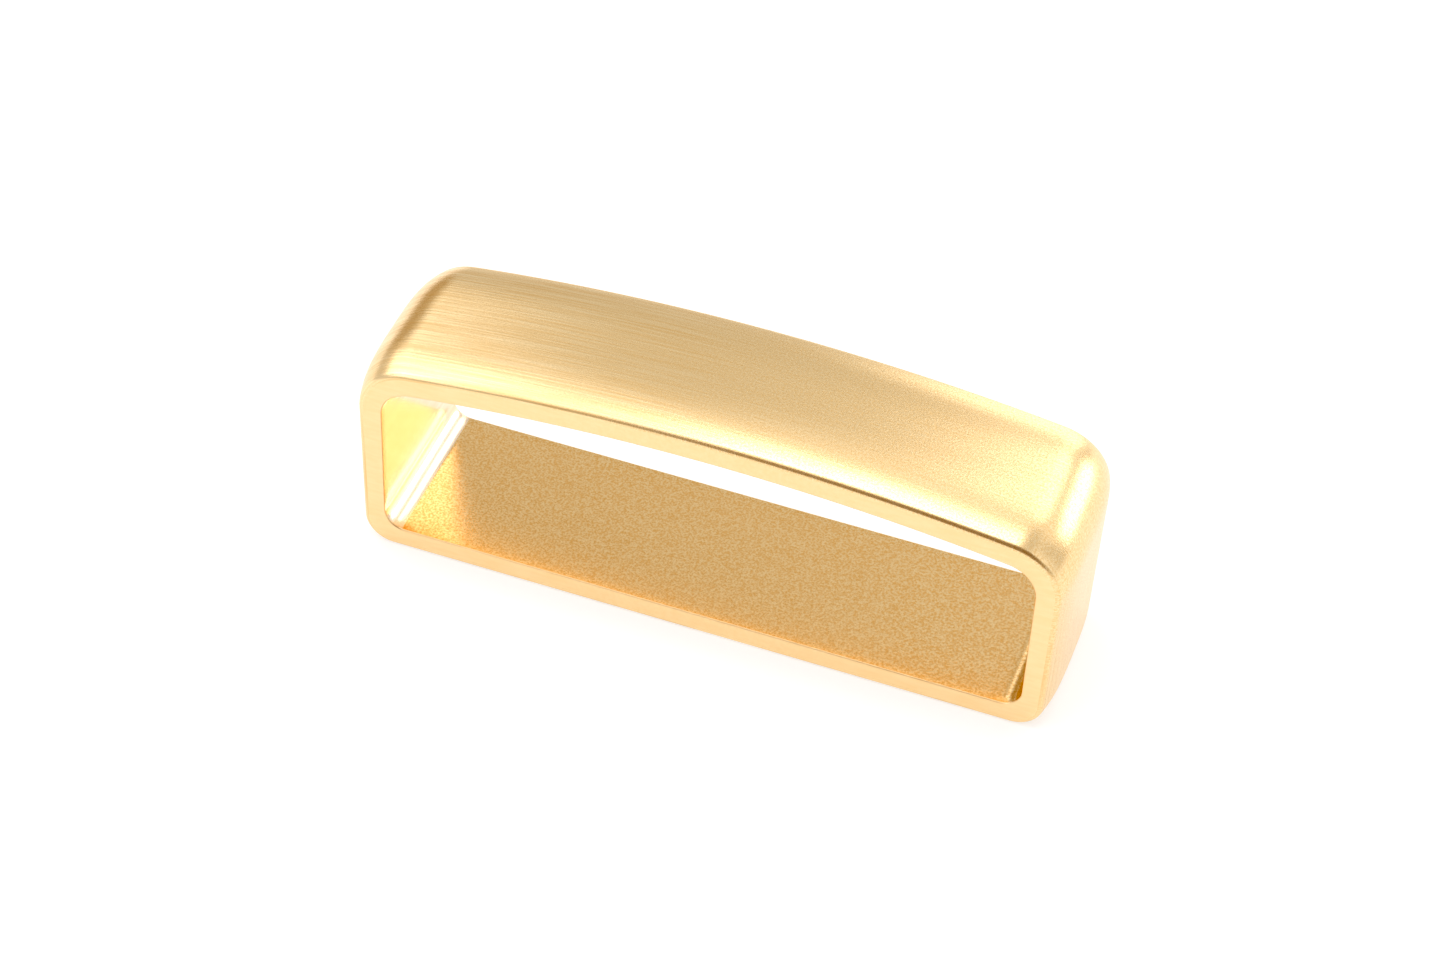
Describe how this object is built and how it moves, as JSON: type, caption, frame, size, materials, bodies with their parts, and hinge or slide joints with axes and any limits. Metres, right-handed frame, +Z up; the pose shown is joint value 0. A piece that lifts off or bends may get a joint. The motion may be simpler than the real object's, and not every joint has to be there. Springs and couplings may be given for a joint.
{
  "type": "strap keeper loop",
  "caption": "Closed metal loop that slides on a strap and holds its free end flat, with a flat floor, an arched roof and a crowned satin gold skin.",
  "frame": {"origin": "on the underside, in the middle of its length and depth", "axes": "+X along the strap's width, +Y along the strap through the opening, +Z up from the flat underside to the arched roof"},
  "size_m": [0.0438, 0.0108, 0.0159],
  "materials": {
    "satin_gold_plate": "satin gold plate: brushed along X on the skin, fine blasted grain on the floor of the opening"
  },
  "bodies": {
    "root": {"keeper_loop": "satin_gold_plate"}
  },
  "joints": []
}
